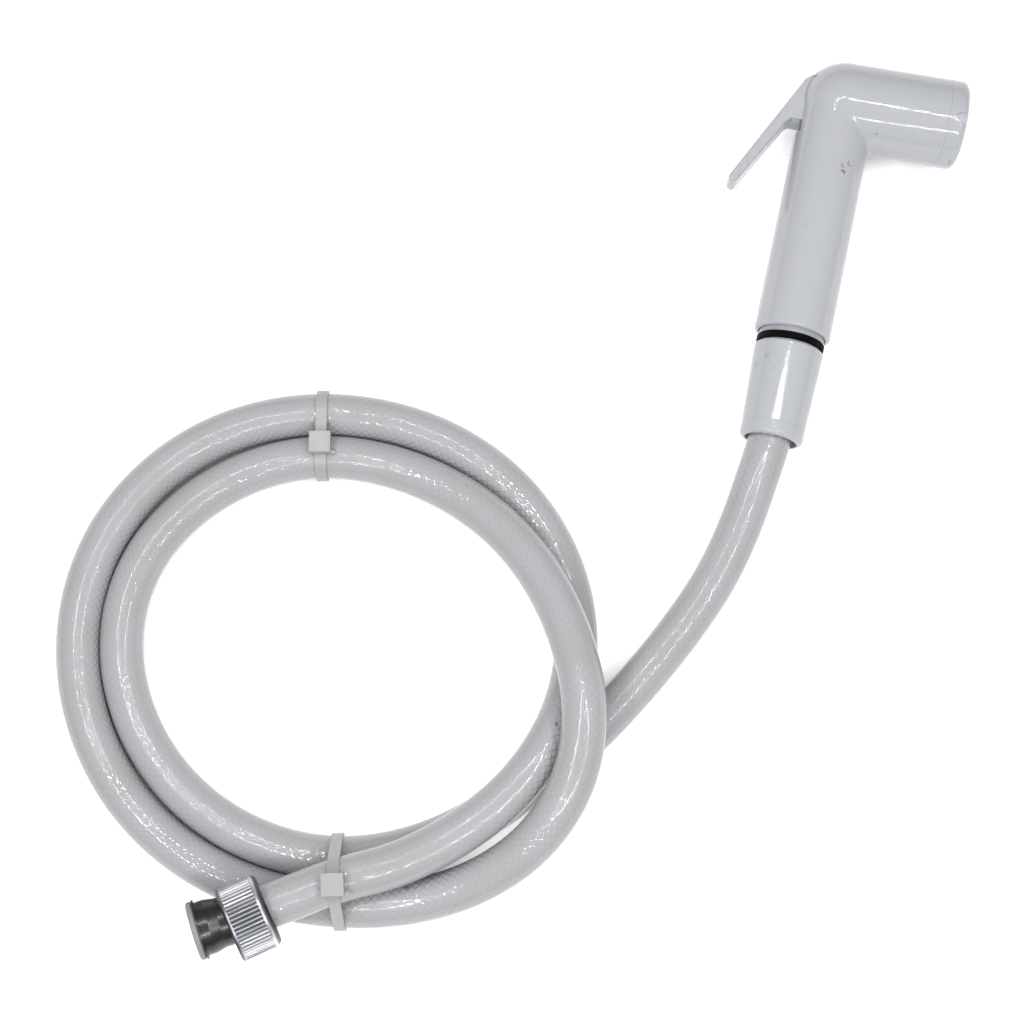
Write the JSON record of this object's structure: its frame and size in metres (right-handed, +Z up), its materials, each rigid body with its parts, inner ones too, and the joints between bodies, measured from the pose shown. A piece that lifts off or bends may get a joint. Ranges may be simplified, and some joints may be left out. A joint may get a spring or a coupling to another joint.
{
  "type": "hand shower",
  "caption": "Thumb-lever hand shower with a round straight handle, side spray head and tapered hose nut, on a braided clear-jacket hose tied in loose loops with a ribbed metal nut.",
  "frame": {"origin": "bottom centre of the handset's own box (handle, head, lever and hose nut, without the hose)", "axes": "+Y along the handle towards the spray head, +X the way the head points, +Z up from the surface it lies on"},
  "size_m": [0.2549, 0.3326, 0.0381],
  "materials": {
    "white_shell": "gloss",
    "white_lever": "gloss",
    "white_cone": "gloss",
    "grey_sleeve": "gloss",
    "black_ring": "matte",
    "inner_plastic": "matte",
    "spray_plastic": "gloss",
    "seal_rubber": "matte",
    "washer_rubber": "matte",
    "spring_steel": "satin",
    "pin_steel": "satin",
    "ferrule_steel": "polished",
    "nut_chrome": "polished",
    "insert_brass": "satin",
    "hose_vinyl": "gloss",
    "tie_nylon": "satin"
  },
  "bodies": {
    "handset_and_hose": {"handset_shell": "white_shell", "lever_pin": "pin_steel", "valve_gland": "inner_plastic", "stem_seal": "seal_rubber", "valve_spring": "spring_steel", "spring_cage": "inner_plastic", "face_cap": "white_shell", "spray_plate": "spray_plastic", "face_gasket": "seal_rubber", "inlet_adapter": "grey_sleeve", "adapter_seal": "seal_rubber", "neck_ring": "black_ring", "upper_washer": "seal_rubber", "upper_ferrule": "ferrule_steel", "upper_insert": "insert_brass", "hose_lead": "hose_vinyl", "hose_coil": "hose_vinyl", "hose_tail": "hose_vinyl", "supply_ferrule": "ferrule_steel", "supply_insert": "insert_brass", "supply_washer": "washer_rubber", "tie_top": "tie_nylon", "tie_bottom": "tie_nylon"},
    "lever": {"lever": "white_lever"},
    "valve_plunger": {"valve_plunger": "inner_plastic", "valve_seal": "seal_rubber"},
    "cone_nut": {"cone_nut": "white_cone"},
    "supply_nut": {"supply_nut": "nut_chrome"}
  },
  "joints": [
    {"name": "lever_squeeze", "type": "hinge", "parent": "handset_and_hose", "child": "lever", "pos_m": [-0.01426, 0.05615, 0.01465], "axis": [0, 0, 1], "range_deg": [0, 12], "stiffness_Nm_per_rad": 0.3, "springref_deg": -5.73},
    {"name": "valve_open", "type": "slide", "parent": "handset_and_hose", "child": "valve_plunger", "axis": [0.9989, 0.0471, 0], "range_m": [0, 0.00122], "deforming": ["valve_spring"]},
    {"name": "cone_nut_screw", "type": "hinge", "parent": "handset_and_hose", "child": "cone_nut", "pos_m": [-0.00526, -0.05205, 0.01465], "axis": [0, 1, 0], "continuous": true},
    {"name": "supply_nut_turn", "type": "hinge", "parent": "handset_and_hose", "child": "supply_nut", "pos_m": [-0.13236, -0.25022, 0.02568], "axis": [-0.7911, -0.6027, 0.1045], "continuous": true}
  ],
  "couplings": [
    {"joint": "valve_open", "follows": "lever_squeeze", "m_per_rad": 0.0058}
  ]
}
